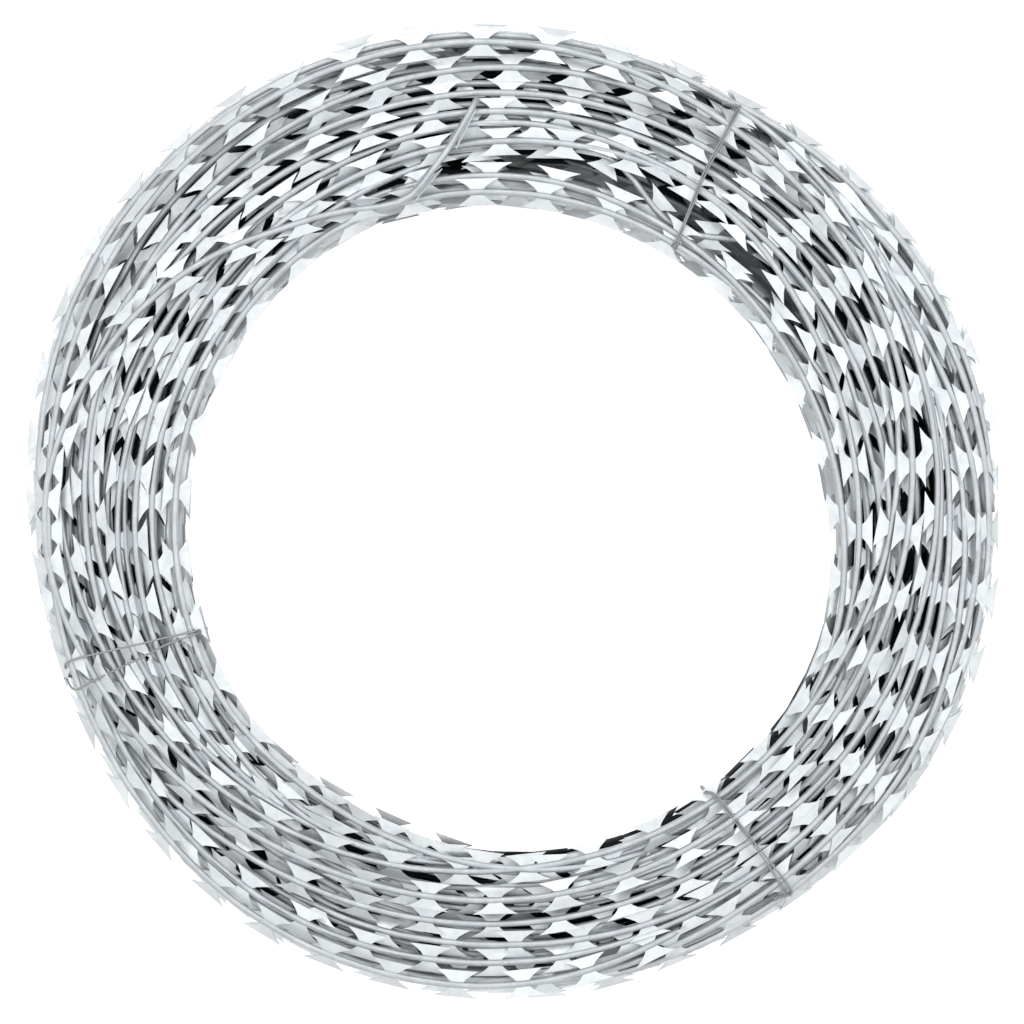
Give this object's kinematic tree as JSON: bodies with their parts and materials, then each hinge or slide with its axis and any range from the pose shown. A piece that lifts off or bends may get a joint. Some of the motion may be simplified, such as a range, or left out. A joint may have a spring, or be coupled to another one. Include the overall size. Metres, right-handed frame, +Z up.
{
  "type": "razor wire coil",
  "caption": "Flat wound coil of galvanised short-barb razor tape with an open eye, wire ties and a free end.",
  "frame": {"origin": "centre of the coil, on the level face it lies on", "axes": "+Z up along the coil's axis, +Y towards the top of the picture, +X to its right"},
  "size_m": [0.4984, 0.4984, 0.0643],
  "materials": {
    "galvanised_tape": "hot-dip galvanised",
    "tie_wire": "annealed, dull"
  },
  "bodies": {
    "root": {"razor_wire_coil": "galvanised_tape", "tie_wire_upper_right": "tie_wire", "tie_wire_left": "tie_wire", "tie_wire_lower_right": "tie_wire"}
  },
  "joints": []
}
